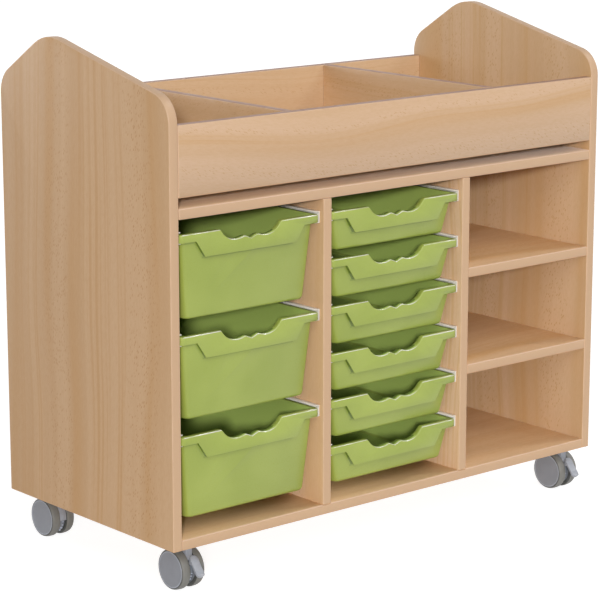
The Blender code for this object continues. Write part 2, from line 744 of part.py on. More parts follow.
def pin_mesh(name):
    (centre,) = side_view([lever_pivot()])
    return pin_along_x(name, centre, PIN_RADIUS, KNUCKLE_WIDTH / 2, PIN_SEGMENTS)


def paddle_profile():
    """Side of the paddle: ribs near both ends of its outer face, which curls up at its lower end."""
    places = [(0, 0)]
    ribs_length = (RIB_COUNT - 1) * RIB_PITCH + RIB_WIDTH
    for start in (RIB_INSET, PADDLE_LENGTH - RIB_INSET - ribs_length):
        for rib in range(RIB_COUNT):
            low = start + rib * RIB_PITCH
            high = low + RIB_WIDTH
            places += [(low, 0), (low, RIB_HEIGHT), (high, RIB_HEIGHT), (high, 0)]
    places += [
        (PADDLE_LENGTH - PADDLE_LIP_LENGTH, 0),
        (PADDLE_LENGTH, PADDLE_LIP_RISE),
        (PADDLE_LENGTH, -PADDLE_THICKNESS),
        (0, -PADDLE_THICKNESS),
    ]
    top, down, off = paddle_frame()
    return [top + down * along + off * height for along, height in places]


def paddle_trim_mesh(name):
    """Long block with round ends that trims the paddle's plate to its outline."""
    top, down, off = paddle_frame()
    radius = PADDLE_WIDTH / 2
    outline = arc_points((0, radius), radius, math.pi, math.tau, PADDLE_END_STEP)
    outline += arc_points((0, PADDLE_LENGTH - radius), radius, 0, math.pi, PADDLE_END_STEP)
    ends = []
    for height in (PADDLE_LIP_RISE + BOOLEAN_OVERRUN, -PADDLE_THICKNESS - BOOLEAN_OVERRUN):
        places = side_view([top + down * along + off * height for across, along in outline])
        ends.append([(across, *place) for (across, along), place in zip(outline, places)])
    return lofted_mesh(name, *ends)


def knuckles_mesh(name):
    """The lever's two knuckles, with room for the housing's lug between them."""
    (centre,) = side_view([lever_pivot()])
    barrel = pin_along_x(name + "_barrel", centre, KNUCKLE_RADIUS, KNUCKLE_WIDTH / 2, STEM_SEGMENTS)
    slot = pin_along_x(name + "_slot", centre, KNUCKLE_RADIUS + BOOLEAN_OVERRUN,
                       LUG_WIDTH / 2 + FIT_GAP, STEM_SEGMENTS)
    return combined_mesh(name, barrel, [("DIFFERENCE", slot)])


def lever_mesh(name):
    """Brake lever: ribbed paddle with two knuckles round the hinge pin.

    Its origin is on the hinge pin's line, in the castor's middle plane.
    """
    (centre,) = side_view([lever_pivot()])
    half_width = PADDLE_WIDTH / 2 + BOOLEAN_OVERRUN
    plate = prism_mesh(name + "_plate", side_view(paddle_profile()), -half_width, half_width, "X")
    bore = pin_along_x(name + "_bore", centre, PIN_RADIUS + FIT_GAP, half_width, PIN_SEGMENTS)
    mesh = combined_mesh(name, plate, [
        ("INTERSECT", paddle_trim_mesh(name + "_trim")),
        ("UNION", knuckles_mesh(name + "_knuckles")),
        ("DIFFERENCE", bore),
    ])
    mesh.transform(Matrix.Translation((0, -centre[0], -centre[1])))
    shade_round(mesh)
    return mesh


def plate_mesh(name):
    """Square top plate with rounded corners and the bearing cup of the swivel stem."""
    half = PLATE_SIDE / 2
    outline = rounded_outline([
        (-half, -half, PLATE_CORNER_RADIUS),
        (half, -half, PLATE_CORNER_RADIUS),
        (half, half, PLATE_CORNER_RADIUS),
        (-half, half, PLATE_CORNER_RADIUS),
    ], PLATE_CORNER_STEP)
    plate = prism_mesh(name + "_sheet", outline, PLATE_TOP - PLATE_THICKNESS, PLATE_TOP, "Z")
    cup_top = PLATE_TOP - PLATE_THICKNESS + BOOLEAN_OVERRUN
    cup = post_along_z(name + "_cup", CUP_RADIUS, CUP_BOTTOM, cup_top, NECK_SEGMENTS)
    bore = post_along_z(name + "_bore", STEM_RADIUS + FIT_GAP, CUP_BOTTOM - BOOLEAN_OVERRUN,
                        PLATE_TOP + BOOLEAN_OVERRUN, STEM_SEGMENTS)
    mesh = combined_mesh(name, plate, [("UNION", cup), ("DIFFERENCE", bore)])
    shade_round(mesh)
    return mesh


def add_castor(corner, x, y, meshes, braked):
    """Top plate, swivelling housing, two wheels and, at the front, the brake lever."""
    plate_name = f"castor_plate_{corner}"
    plate = new_object(plate_name, meshes["plate"].copy(), plated_steel())
    plate.location = (x, y, 0)
    swivel = bpy.data.objects.new(f"castor_swivel_{corner}", None)
    bpy.context.collection.objects.link(swivel)
    swivel.location = (x, y, 0)
    housing_name = f"castor_housing_{corner}"
    shape = meshes["braked housing" if braked else "housing"]
    housing = new_object(housing_name, shape.copy(), hood_plastic())
    housing.parent = swivel
    for side, word, turn in ((-1, "left", math.pi), (1, "right", 0)):
        wheel_name = f"wheel_{corner}_{word}"
        wheel = new_object(wheel_name, meshes["wheel"].copy(), wheel_plastic())
        wheel.parent = swivel
        wheel.location = (side * WHEEL_OFFSET, CASTOR_TRAIL, AXLE_HEIGHT)
        wheel.rotation_euler = (0, 0, turn)
    if braked:
        lever_name = f"brake_lever_{corner}"
        lever = new_object(lever_name, meshes["lever"].copy(), hood_plastic())
        lever.parent = swivel
        (centre,) = side_view([lever_pivot()])
        lever.location = (0, *centre)


def add_castors():
    meshes = {
        "plate": plate_mesh("castor_plate"),
        "housing": housing_mesh("castor_housing", False),
        "braked housing": housing_mesh("castor_housing_braked", True),
        "wheel": wheel_mesh("castor_wheel"),
        "lever": lever_mesh("brake_lever"),
    }
    left = LEFT + LEFT_CASTOR_INSET
    right = RIGHT - RIGHT_CASTOR_INSET
    front = FRONT + CASTOR_DEPTH_INSET
    back = BACK - CASTOR_DEPTH_INSET
    add_castor("front_left", left, front, meshes, True)
    add_castor("front_right", right, front, meshes, True)
    add_castor("back_left", left, back, meshes, False)
    add_castor("back_right", right, back, meshes, False)


def build_cart():
    clear_scene()
    add_cabinet()
    left_runner = runner_mesh("runner_left", -1)
    right_runner = runner_mesh("runner_right", 1)
    add_runner_pairs("deep", DEEP_BAY_CENTRE, DEEP_ROWS, DEEP_PITCH, left_runner, right_runner)
    add_runner_pairs("shallow", SHALLOW_BAY_CENTRE, SHALLOW_ROWS, SHALLOW_PITCH, left_runner, right_runner)
    add_bins("deep", DEEP_BAY_CENTRE, DEEP_ROWS, DEEP_PITCH, bin_mesh("deep_bin", DEEP_BIN_HEIGHT))
    add_bins("shallow", SHALLOW_BAY_CENTRE, SHALLOW_ROWS, SHALLOW_PITCH,
             bin_mesh("shallow_bin", SHALLOW_BIN_HEIGHT))
    add_castors()


build_cart()
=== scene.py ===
"""Mobile bin cart: finishes, fine detail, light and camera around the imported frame."""
import math

import bmesh
import bpy
from mathutils import Matrix, Vector


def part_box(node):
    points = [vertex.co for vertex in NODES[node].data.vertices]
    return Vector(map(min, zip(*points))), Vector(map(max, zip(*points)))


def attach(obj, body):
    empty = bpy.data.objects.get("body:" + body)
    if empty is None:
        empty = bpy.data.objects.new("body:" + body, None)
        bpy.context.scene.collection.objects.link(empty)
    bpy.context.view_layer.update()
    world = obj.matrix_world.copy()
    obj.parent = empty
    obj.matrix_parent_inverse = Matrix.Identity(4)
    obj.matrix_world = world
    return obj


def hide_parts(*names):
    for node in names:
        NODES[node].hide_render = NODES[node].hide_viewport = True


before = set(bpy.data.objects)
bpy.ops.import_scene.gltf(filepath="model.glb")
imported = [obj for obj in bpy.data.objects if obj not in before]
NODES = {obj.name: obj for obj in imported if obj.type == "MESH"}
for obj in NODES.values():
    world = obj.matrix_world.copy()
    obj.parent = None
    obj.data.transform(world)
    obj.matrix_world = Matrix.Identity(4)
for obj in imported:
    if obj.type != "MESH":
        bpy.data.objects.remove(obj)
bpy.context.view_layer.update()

X, Y, Z = 0, 1, 2

# Camera
CAMERA_PLACE = (-2.9235, -3.4154, 1.4130)
CAMERA_YAW = math.radians(40.35)
CAMERA_PITCH = math.radians(12.406)
CAMERA_REACH = 60.0
LENS = 144.21
SENSOR = 36.0

# Light: direction that each lamp shines from, share of full light and width in degrees
WORLD_STRENGTH = 0.08
FULL_LIGHT = math.pi
LAMPS = {
    "front": ((-0.632, -0.744, 0.215), 0.56, 5.0),
    "key": ((-0.45, -0.70, 0.55), 0.34, 40.0),
    "side": ((0.45, -0.65, 0.61), 0.12, 30.0),
    "back": ((-0.15, 0.97, 0.15), 0.35, 30.0),
    "top": ((0.63, -0.20, 0.73), 0.20, 9.0),
}

# Floor
FLOOR_HALF = 14.0
FLOOR_ROUGHNESS = 0.9
FLOOR_COLOUR = (0.78, 0.78, 0.79)
FLOOR_SEEN_COLOUR = (0.36, 0.36, 0.36)
FLOOR_GLOW = 0.88
WHITE = (1.0, 1.0, 1.0)

# An easing below is (low, high), from 0 to 1, or (low, high, value at low, value at high).
# A noise is (closeness, detail) or (closeness, detail, roughness), and its closeness one
# number or one for each axis.

# Beech laminate
BEECH_LIGHT = (0.635, 0.425, 0.262)
BEECH_MID = (0.595, 0.385, 0.222)
BEECH_DARK = (0.565, 0.335, 0.155)
BEECH_FLECK = (0.46, 0.235, 0.075)
BEECH_EDGE = (0.572, 0.380, 0.238)
BEECH_EDGE_WORN = (0.67, 0.47, 0.32)
# Painted lines along the band's arrises: highlight above, warm shade below
BEECH_EDGE_PALE_HIGHLIGHT = (0.72, 0.52, 0.43)
BEECH_EDGE_WARM_SHADE = (0.74, 0.36, 0.15)
# Painted reflection: greyer tone of the trough boards' top edges
TOP_EDGE_PAINTED_REFLECTION = (0.36, 0.205, 0.145)
# Painted light: paler underside of the trough floor over the paper slot
SLOT_LIGHT_UNDERSIDE = (0.80, 0.72, 0.60)
BEECH_ROUGHNESS = 0.42
BEECH_SPECULAR = 0.25
PORE_DEPTH = 0.00012
PORE_STRENGTH = 0.5

# Boards above and below the paper slot, with a haze that shows where they are seen along
SLOT_BOARDS = ("top_deck", "trough_floor")
SLOT_SHEEN = 0.22
SLOT_SHEEN_ROUGHNESS = 0.5

# Noises of the figure, and closeness of its flecks: along the grain, across it and with the depth
WAVER_NOISE = ((1.3, 2.2, 0.2), 1.0)
BANDS_NOISE = ((0.35, 15.0, 0.6), 2.0, 0.55)
LINES_NOISE = ((0.8, 130.0, 1.0), 3.0, 0.6)
GROUPS_NOISE = ((0.3, 8.0, 1.7), 1.0)
FIBRE_NOISE = ((75.0, 330.0, 8.0), 2.0, 0.6)
FLECKS_CLOSENESS = (150.0, 250.0, 3.0)
TROUGH_FLECKS_CLOSENESS = (210.0, 190.0, 3.0)

# Place of the figure: steps from one seed to the next, stretch of the depth, waver and slant
SEED_STEP_ALONG = 1.37
SEED_STEP_ACROSS = 0.73
DEPTH_STRETCH = 6.0
WAVER_WIDTH = 0.12
SLANT = 1.4

# Easings of the figure
BANDS_TO_MID = (0.40, 0.56)
BANDS_TO_DARK = (0.54, 0.68, 0.0, 0.75)
LINES_TO_DARK = (0.46, 0.64, 0.10, 0.75)
LINES_GROUPED = (0.50, 0.66)
FLECK_SIZE = (0.20, 0.38, 1.0, 0.0)
FLECK_CHANCE = (0.30, 0.58)
FLECKS_LEAST = 0.08
FLECKS_GATHERED = 0.66
TROUGH_FLECKS_GATHERED = 0.45
FIBRE_TONE = (0.3, 0.7, 0.0, 0.13)
FIBRE_ROUGHNESS = (0.2, 0.8, 0.36, 0.50)
FIBRE_HEIGHT = 0.5
COLUMN_CORE_SHARE = 0.3

# Edge band: easings by how far a surface turns to the board's face
OFF_FACE = (0.80, 0.95, 1.0, 0.0)
ON_ARRIS = (0.15, 0.45)

# Edge band: its speckle and its worn patches
EDGE_NOISE = ((400.0, 400.0, 400.0), 2.0)
EDGE_SPECKLE = (0.3, 0.7, 0.0, 0.25)
WORN_NOISE = (28.0, 2.0)
WORN_PATCHES = (0.35, 0.65, 0.1, 0.5)

# Boards: easings by how far a surface turns up, and width and shares of the painted lines along the
# band's arrises, warm shade along the lower and a highlight along the upper
TOP_EDGE_FACING = (0.75, 0.90)
UNDERSIDE_FACING = (-0.95, -0.80, 1.0, 0.0)
UPRIGHT_FACING = (0.3, 0.6, 1.0, 0.0)
ARRIS_LINE_WIDTH = 0.0022
LOWER_SHADE_LINE_SHARE = 0.7
UPPER_HIGHLIGHT_LINE_SHARE = 0.8

# Each board: axes of its grain and its face, seed, tint, dark streaks and flecked columns,
# the last two as (place across the grain, half width)
# The tints paint in light and shade: boards deep in the bays are made lighter, and each board matched to
# how bright it renders
BOARDS = {
    "side_panel_left": (Z, X, 1.0, (0.895, 0.870, 0.81),
                        ((0.186, 0.012), (0.140, 0.010), (-0.108, 0.014)),
                        ((0.075, 0.050), (0.040, 0.014), (-0.165, 0.055))),
    "side_panel_right": (Z, X, 5.0, (1.02, 1.04, 1.02),
                         ((0.13, 0.012), (-0.02, 0.012), (-0.085, 0.014)),
                         ((0.15, 0.06), (0.02, 0.04), (-0.17, 0.05))),
    "divider_left": (Z, X, 2.0, (1.16, 1.19, 1.25), ((0.05, 0.02),), ((-0.16, 0.03),)),
    "divider_right": (Z, X, 3.0, (1.16, 1.19, 1.25), ((-0.05, 0.02),), ((0.12, 0.03),)),
    "bottom_panel": (X, Z, 4.0, (1.23, 1.24, 1.18),
                     ((-0.12, 0.015), (-0.04, 0.02), (0.08, 0.012)), ((0.16, 0.04),)),
    "top_deck": (X, Z, 6.0, (1.24, 1.25, 1.22), ((0.05, 0.02),), ((-0.1, 0.03),)),
    "back_panel": (Z, Y, 7.0, (1.0, 1.0, 0.95), ((-0.1, 0.02), (0.3, 0.02)), ((0.1, 0.04),)),
    "shelf_lower": (X, Z, 8.0, (1.26, 1.28, 1.24), ((-0.14, 0.012), (0.02, 0.02)), ((0.12, 0.03),)),
    "shelf_upper": (X, Z, 9.0, (1.26, 1.28, 1.24), ((-0.06, 0.012), (0.1, 0.02)), ((-0.16, 0.03),)),
    "trough_front_board": (X, Y, 10.0, (0.98, 1.01, 1.09), ((0.806, 0.013),),
                           ((0.742, 0.018), (0.822, 0.009))),
    "trough_back_board": (X, Y, 11.0, (0.92, 0.93, 0.92), ((0.77, 0.008),), ((0.80, 0.012),)),
    "trough_floor": (X, Z, 12.0, (1.0, 1.0, 0.95), ((0.0, 0.03),), ((0.1, 0.03),)),
    "trough_divider_left": (Y, X, 13.0, (1.0, 1.0, 0.95), ((0.78, 0.008),), ((0.81, 0.02),)),
    "trough_divider_right": (Y, X, 14.0, (1.0, 1.0, 0.95), ((0.78, 0.008),), ((0.81, 0.02),)),
}

# Green plastic of the bins
GREEN = (0.360, 0.432, 0.088)
GREEN_DEEP = (0.315, 0.385, 0.070)
# Painted light: paler green on the bins' inner walls and floors
GREEN_PAINTED_INNER_LIGHT = (0.45, 0.585, 0.145)
# Painted shade in the creases round the handle plate
GREEN_PAINTED_SHADE = (0.09, 0.15, 0.02)
# Painted highlight and scuffing on the rim's front arris
GREEN_SCUFF_AND_HIGHLIGHT = (0.72, 0.69, 0.67)
BIN_ROUGHNESS = 0.30
BIN_SPECULAR = 0.3
BIN_COAT = 0.4
BIN_COAT_ROUGHNESS = 0.17
BIN_DRIFT_NOISE = (9.0, 2.0)
BIN_GRAIN_NOISE = (900.0, 2.0, 0.6)
BIN_GRAIN_TONE = (0.25, 0.75, 0.0, 0.14)
BIN_GRAIN_ROUGHNESS = (0.2, 0.8, 0.25, 0.37)
INNER_SIDE = (-0.75, -0.45, 1.0, 0.0)
FLOOR_FACING = (0.7, 0.9)
RIM_BAND = 0.020

# Handle plate of a bin, measured down from the rim's top and out from its middle
PLATE_HEAD = 0.0143
PLATE_FOOT = 0.0430
PLATE_TOP_HALF = 0.1205
PLATE_FOOT_HALF = 0.1015

# Depths from the rim's front that part its lip, the front wall and the rest
LIP_DEPTH = 0.0045
FRONT_DEPTH = 0.0150

# Painted shade in the crease round the handle plate: its width, the shares of painted shade on its parts
# and how surfaces face there
CREASE = 0.0013
LIP_SIDE_SHADE_SHARE = 0.35
FLANK_SHADE_SHARE = 0.75
SHADE_SHARE = 0.14
SHADE_WIDTH = 5 * CREASE
UNDER_EDGE_SHADE_SHARE = 0.30
LIP_FACING = (-0.85, -0.60)
FRONT_FACING = (0.3, 0.6, 1.0, 0.0)

# Pale arris of a bin's rim: painted highlight, with scuffing
ARRIS_RISES = (0.35, 0.55)
ARRIS_ENDS = (0.80, 0.92, 1.0, 0.0)
SCUFF_AND_HIGHLIGHT_FACING = (-0.6, -0.4, 1.0, 0.0)
HIGHLIGHT_LEVEL = (0.18, 0.42, 1.0, 0.08)
SCUFF_AND_HIGHLIGHT_NOISE = (30.0, 2.0)
SCUFF_AND_HIGHLIGHT_PATCHES = (0.3, 0.6, 0.25, 0.80)

# Span of a grain's noise over which the roughness of plain plastic and steel changes
GRAIN_SPAN = (0.2, 0.8)

# Moulded plastic: slow drift of its tone, and its grain
DRIFT_TONE = (0.3, 0.7)
GRAIN_STRENGTH = 0.6
FINE_GRAIN_DEPTH = 0.00003
COARSE_GRAIN_DEPTH = 0.00004
FINE_GRAIN_NOISE = (1500.0, 2.0, 0.6)
RUNNER_GRAIN_NOISE = (1200.0, 2.0, 0.6)

# Colours of runners, castors and screws
RUNNER_WHITE = (0.78, 0.74, 0.69)
TYRE_GREY = (0.180, 0.175, 0.158)
# Painted shade: the tyre's sides darkened into an outline
TYRE_SIDE_SHADE = (0.065, 0.065, 0.058)
DISC_GREY = (0.240, 0.248, 0.275)
# Painted highlight: paler ring on the rim of each wheel's disc
DISC_RIM_HIGHLIGHT = (0.37, 0.39, 0.45)
HOOD_GREY = (0.33, 0.345, 0.385)
# Painted light: paler tone of the castor stubs, where they catch the light
HOOD_PAINTED_LIGHT = (0.46, 0.50, 0.60)
# Painted shade: darker grey of the web between the wheels
WEB_SHADE_GREY = (0.215, 0.238, 0.275)
STEEL = (0.62, 0.62, 0.63)

# Each plain plastic: colour, roughness and noise of its grain
PLAIN_PLASTICS = {
    "white_runner": (RUNNER_WHITE, 0.42, RUNNER_GRAIN_NOISE),
    "disc": (DISC_GREY, 0.45, FINE_GRAIN_NOISE),
    "disc_rim_highlight": (DISC_RIM_HIGHLIGHT, 0.40, FINE_GRAIN_NOISE),
    # Painted light: the stubs paler than the hood
    "stub": (HOOD_PAINTED_LIGHT, 0.35, FINE_GRAIN_NOISE),
    "hood": (HOOD_GREY, 0.42, FINE_GRAIN_NOISE),
}

# Plain plastic: lighter and darker share of its colour, drift, grain and reach of its roughness
DRIFT_SHARES = (1.04, 0.93)
PLAIN_DRIFT_NOISE = (30.0, 2.0)
PLAIN_GRAIN_TONE = (0.25, 0.75, 0.0, 0.3)
SMOOTHER = 0.05
ROUGHER = 0.07

# Tyre
TYRE_ROUGHNESS = 0.55
TYRE_SIDE_FACING = (0.35, 0.85)
DUST_NOISE = (70.0, 3.0)
DUST_TONE = (0.45, 0.75, 0.0, 0.12)
TYRE_GRAIN_ROUGHNESS = (0.2, 0.8, 0.48, 0.62)

# Castor housing: radius of the web between its wheels, darkened there by painted shade, and width of the
# border, tones, roughness
HOUSING_ROUGHNESS = 0.42
WEB_RADIUS = 0.0313
WEB_BORDER = 0.0006
HOUSING_DRIFT_NOISE = (60.0, 2.0)
HOUSING_DRIFT_TONE = (0.4, 0.7, 0.0, 0.2)
HOUSING_GRAIN_ROUGHNESS = (0.2, 0.8, 0.36, 0.48)

# Plated steel
STEEL_ROUGHNESS = 0.35
BRUSHED_NOISE = ((90.0, 900.0, 90.0), 3.0)
BRUSHED_DEPTH = 0.00004
BRUSHED_STRENGTH = 0.4
STAIN_NOISE = (60.0, 2.0)
STAIN_TONE = (0.35, 0.7, 0.0, 0.5)
STAIN_SHARE = 0.72
STEEL_SMOOTHER = 0.08
STEEL_ROUGHER = 0.12

# Rounding of the solids' arrises
WELD_DISTANCE = 0.00001
ARRIS_ANGLE = math.radians(30.0)
BROAD_ROUND = 0.0005
FINE_ROUND = 0.0003

# Angle from which an edge of a turned mesh stays sharp
SHARP_ANGLE = math.radians(35.0)

# Castor wheel, its sections in shares of the wheel's radius and width from its inner face
TYRE_SECTION = (
    (0.800, 0.000), (0.950, 0.000), (0.980, 0.030), (0.994, 0.090), (1.000, 0.220),
    (0.999, 0.420), (0.993, 0.620), (0.980, 0.780), (0.962, 0.890), (0.940, 0.955),
    (0.918, 0.982), (0.903, 0.975), (0.896, 0.940), (0.800, 0.940),
)
CORE_SECTION = (
    (0.114, 0.060), (0.760, 0.060), (0.799, 0.090), (0.799, 0.935), (0.880, 0.941),
    (0.889, 0.965), (0.884, 0.988), (0.868, 0.997), (0.852, 0.990), (0.840, 0.972),
    (0.000, 0.972), (0.000, 0.730), (0.114, 0.730),
)
WHEEL_STEPS = 96

# Stretches of the core's section that make its paler rim, a painted highlight
RIM_START, RIM_END = 4, 9

# Castor web's stubs: degrees below the way ahead, place from the axle and radius
STUBS = ((12.0, 0.0310, 0.0012), (25.0, 0.0311, 0.0014), (39.0, 0.0313, 0.0018), (54.0, 0.0313, 0.0018))
STUB_OFFSET = 0.0025
STUB_STRETCH = 1.5
STUB_SEGMENTS = 16
STUB_RINGS = 10
FRONT_RIM_LESS = 0.004

# Pan head of a screw, in shares of its radius and its height
SCREW_SECTION = (
    (0.00, 0.30), (0.28, 0.30), (0.34, 0.40), (0.36, 0.94), (0.42, 1.00), (0.62, 0.98),
    (0.86, 0.80), (0.98, 0.45), (1.00, 0.10), (1.00, 0.00), (0.00, 0.00),
)
SCREW_STEPS = 24
PLATE_SCREW_INSET = 0.009
PLATE_SCREW_RADIUS = 0.0036
PLATE_SCREW_HEIGHT = 0.0020
RUNNER_SCREW_RADIUS = 0.0032
RUNNER_SCREW_HEIGHT = 0.0008
RUNNER_SCREW_SHARES = (0.08, 0.5, 0.92)
RUNNER_WALL = 0.002
QUARTER_TURN = math.radians(90.0)


class Paint:
    """One material and short calls that add linked nodes to it."""

    def __init__(self, name, roughness, metallic=0.0):
        self.material = bpy.data.materials.new(name)
        self.material.use_nodes = True
        self.tree = self.material.node_tree
        self.shader = self.tree.nodes["Principled BSDF"]
        self.set("Roughness", roughness)
        self.set("Metallic", metallic)

    def set(self, socket_name, value):
        """Value or linked socket for one input of the shader."""
        self.put(self.shader.inputs[socket_name], value)

    def put(self, socket, value):
        if isinstance(value, bpy.types.NodeSocket):
            self.tree.links.new(value, socket)
        elif isinstance(value, tuple) and len(value) == 3 and socket.type == "RGBA":
            socket.default_value = (*value, 1.0)
        else:
            socket.default_value = value

    def node(self, kind, **settings):
        node = self.tree.nodes.new(kind)
        for key, value in settings.items():
            setattr(node, key, value)
        return node

    def maths(self, operation, *values):
        node = self.node("ShaderNodeMath", operation=operation)
        for socket, value in zip(node.inputs, values):
            self.put(socket, value)
        return node.outputs[0]

    def product(self, value, *others):
        for other in others:
            value = self.maths("MULTIPLY", value, other)
        return value

    def largest(self, value, *others):
        for other in others:
            value = self.maths("MAXIMUM", value, other)
        return value

    def place(self):
        return self.node("ShaderNodeTexCoord").outputs["Object"]

    def facing(self):
        return self.node("ShaderNodeTexCoord").outputs["Normal"]

    def parts(self, vector):
        node = self.node("ShaderNodeSeparateXYZ")
        self.put(node.inputs[0], vector)
        return list(node.outputs)

    def vector(self, *values):
        node = self.node("ShaderNodeCombineXYZ")
        for socket, value in zip(node.inputs, values):
            self.put(socket, value)
        return node.outputs[0]

    def scaled(self, vector, factors):
        node = self.node("ShaderNodeVectorMath", operation="MULTIPLY")
        self.put(node.inputs[0], vector)
        self.put(node.inputs[1], factors)
        return node.outputs[0]

    def noise(self, vector, closeness, detail, roughness=0.5):
        """Noise of one closeness, or of one for each axis."""
        if isinstance(closeness, tuple):
            vector = self.scaled(vector, closeness)
            closeness = 1.0
        node = self.node("ShaderNodeTexNoise")
        self.put(node.inputs["Vector"], vector)
        self.put(node.inputs["Scale"], closeness)
        self.put(node.inputs["Detail"], detail)
        self.put(node.inputs["Roughness"], roughness)
        return node.outputs["Fac"]

    def cells(self, vector, closeness):
        """Distance to the nearest random point, and a random value of its cell."""
        node = self.node("ShaderNodeTexVoronoi")
        self.put(node.inputs["Vector"], self.scaled(vector, closeness))
        self.put(node.inputs["Scale"], 1.0)
        return node.outputs["Distance"], self.parts(node.outputs["Color"])[0]

    def ease(self, value, low, high, first=0.0, last=1.0):
        """Value eased from low..high to first..last, and held beyond."""
        node = self.node("ShaderNodeMapRange", interpolation_type="SMOOTHSTEP")
        for socket, item in zip(node.inputs, (value, low, high, first, last)):
            self.put(socket, item)
        return node.outputs[0]

    def mix(self, share, first, second):
        node = self.node("ShaderNodeMix", data_type="RGBA")
        for index, value in ((0, share), (6, first), (7, second)):
            self.put(node.inputs[index], value)
        return node.outputs[2]

    def bump(self, height, depth, strength):
        node = self.node("ShaderNodeBump")
        self.put(node.inputs["Height"], height)
        self.put(node.inputs["Distance"], depth)
        self.put(node.inputs["Strength"], strength)
        self.set("Normal", node.outputs["Normal"])

    def near(self, value, places):
        """One near any of the (place, half width) pairs, easing to zero away from them."""
        total = 0.0
        for place, half in places:
            away = self.maths("ABSOLUTE", self.maths("SUBTRACT", value, place))
            total = self.largest(total, self.ease(away, COLUMN_CORE_SHARE * half, half, 1.0, 0.0))
        return total


def toned(colour, tint):
    return tuple(value * share for value, share in zip(colour, tint))


def edge_band(paint, unwavered, normals, face, painted_top_reflection):
    """Share and colour of the edge band, with its worn arrises, and a painted reflection on the faces
    that turn up where asked.
    """
    onto_face = paint.maths("ABSOLUTE", normals[face])
    band_share = paint.ease(onto_face, *OFF_FACE)
    speckle = paint.noise(unwavered, *EDGE_NOISE)
    edge = paint.mix(paint.ease(speckle, *EDGE_SPECKLE), BEECH_EDGE, BEECH_MID)
    if painted_top_reflection:
        # Painted reflection: edges that face up turn greyer
        edge = paint.mix(paint.ease(normals[Z], *TOP_EDGE_FACING), edge, TOP_EDGE_PAINTED_REFLECTION)
    patches = paint.ease(paint.noise(unwavered, *WORN_NOISE), *WORN_PATCHES)
    worn = paint.product(band_share, paint.ease(onto_face, *ON_ARRIS), patches)
    return band_share, paint.mix(worn, edge, BEECH_EDGE_WORN)


def painted_arris_lines(paint, surface, height, normals, lies_flat, low, high):
    """Painted warm shade line of the band along the lower arris, and a painted highlight along the upper
    one where the board lies flat.
    """
    upright = paint.ease(paint.maths("ABSOLUTE", normals[Z]), *UPRIGHT_FACING)
    lower = paint.ease(height, low.z + ARRIS_LINE_WIDTH / 2, low.z + ARRIS_LINE_WIDTH, 1.0, 0.0)
    surface = paint.mix(paint.product(upright, lower, LOWER_SHADE_LINE_SHARE), surface, BEECH_EDGE_WARM_SHADE)
    if lies_flat:
        upper = paint.ease(height, high.z - ARRIS_LINE_WIDTH, high.z - ARRIS_LINE_WIDTH / 2)
        surface = paint.mix(paint.product(upright, upper, UPPER_HIGHLIGHT_LINE_SHARE), surface, BEECH_EDGE_PALE_HIGHLIGHT)
    return surface


